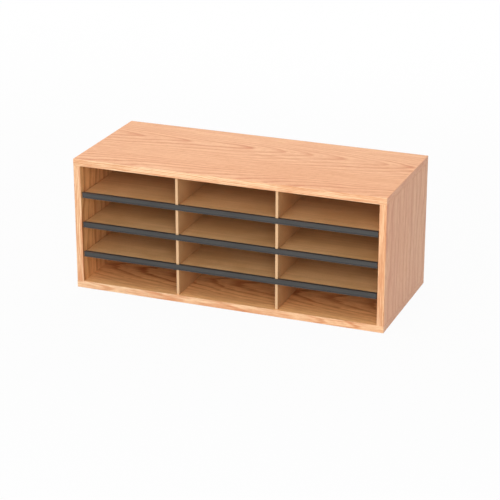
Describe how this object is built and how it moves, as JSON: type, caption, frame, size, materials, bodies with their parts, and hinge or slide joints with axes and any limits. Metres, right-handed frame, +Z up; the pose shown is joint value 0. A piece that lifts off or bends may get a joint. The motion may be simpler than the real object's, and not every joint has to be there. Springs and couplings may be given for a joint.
{
  "type": "literature organizer",
  "caption": "Desktop wood-grain cabinet of open letter-size compartments, with thin dividers and shelves that draw out to the front, each with a label rail.",
  "frame": {"origin": "bottom centre of the cabinet, on the surface that it stands on", "axes": "+X to the right along the width, +Y to the rear, +Z up; the open front faces -Y"},
  "size_m": [0.731, 0.308, 0.308],
  "materials": {
    "oak_laminate": "satin oak-grain laminate on particleboard",
    "oak_edge_band": "satin oak-grain edge band",
    "fibreboard": "matte tan fibreboard",
    "hardboard": "smooth brown hardboard",
    "charcoal_plastic": "satin extruded charcoal plastic",
    "beech": "plain fluted dowel wood",
    "bright_steel": "bright zinc-plated steel"
  },
  "bodies": {
    "cabinet": {"top_panel": "oak_laminate", "bottom_panel": "oak_laminate", "left_side_panel": "oak_laminate", "right_side_panel": "oak_laminate", "back_panel": "hardboard", "top_front_band": "oak_edge_band", "bottom_front_band": "oak_edge_band", "left_front_band": "oak_edge_band", "right_front_band": "oak_edge_band", "top_left_end_band": "oak_edge_band", "top_right_end_band": "oak_edge_band", "bottom_left_end_band": "oak_edge_band", "bottom_right_end_band": "oak_edge_band", "left_divider": "fibreboard", "right_divider": "fibreboard", "upper_shelf_pins": "bright_steel", "middle_shelf_pins": "bright_steel", "lower_shelf_pins": "bright_steel", "corner_dowels": "beech", "back_nails": "bright_steel"},
    "upper_shelf_unit": {"upper_shelf": "fibreboard", "upper_label_rail": "charcoal_plastic"},
    "middle_shelf_unit": {"middle_shelf": "fibreboard", "middle_label_rail": "charcoal_plastic"},
    "lower_shelf_unit": {"lower_shelf": "fibreboard", "lower_label_rail": "charcoal_plastic"}
  },
  "joints": [
    {"name": "upper_shelf_slide", "type": "slide", "parent": "cabinet", "child": "upper_shelf_unit", "axis": [0, -1, 0], "range_m": [0, 0.305]},
    {"name": "middle_shelf_slide", "type": "slide", "parent": "cabinet", "child": "middle_shelf_unit", "axis": [0, -1, 0], "range_m": [0, 0.305]},
    {"name": "lower_shelf_slide", "type": "slide", "parent": "cabinet", "child": "lower_shelf_unit", "axis": [0, -1, 0], "range_m": [0, 0.305]}
  ]
}
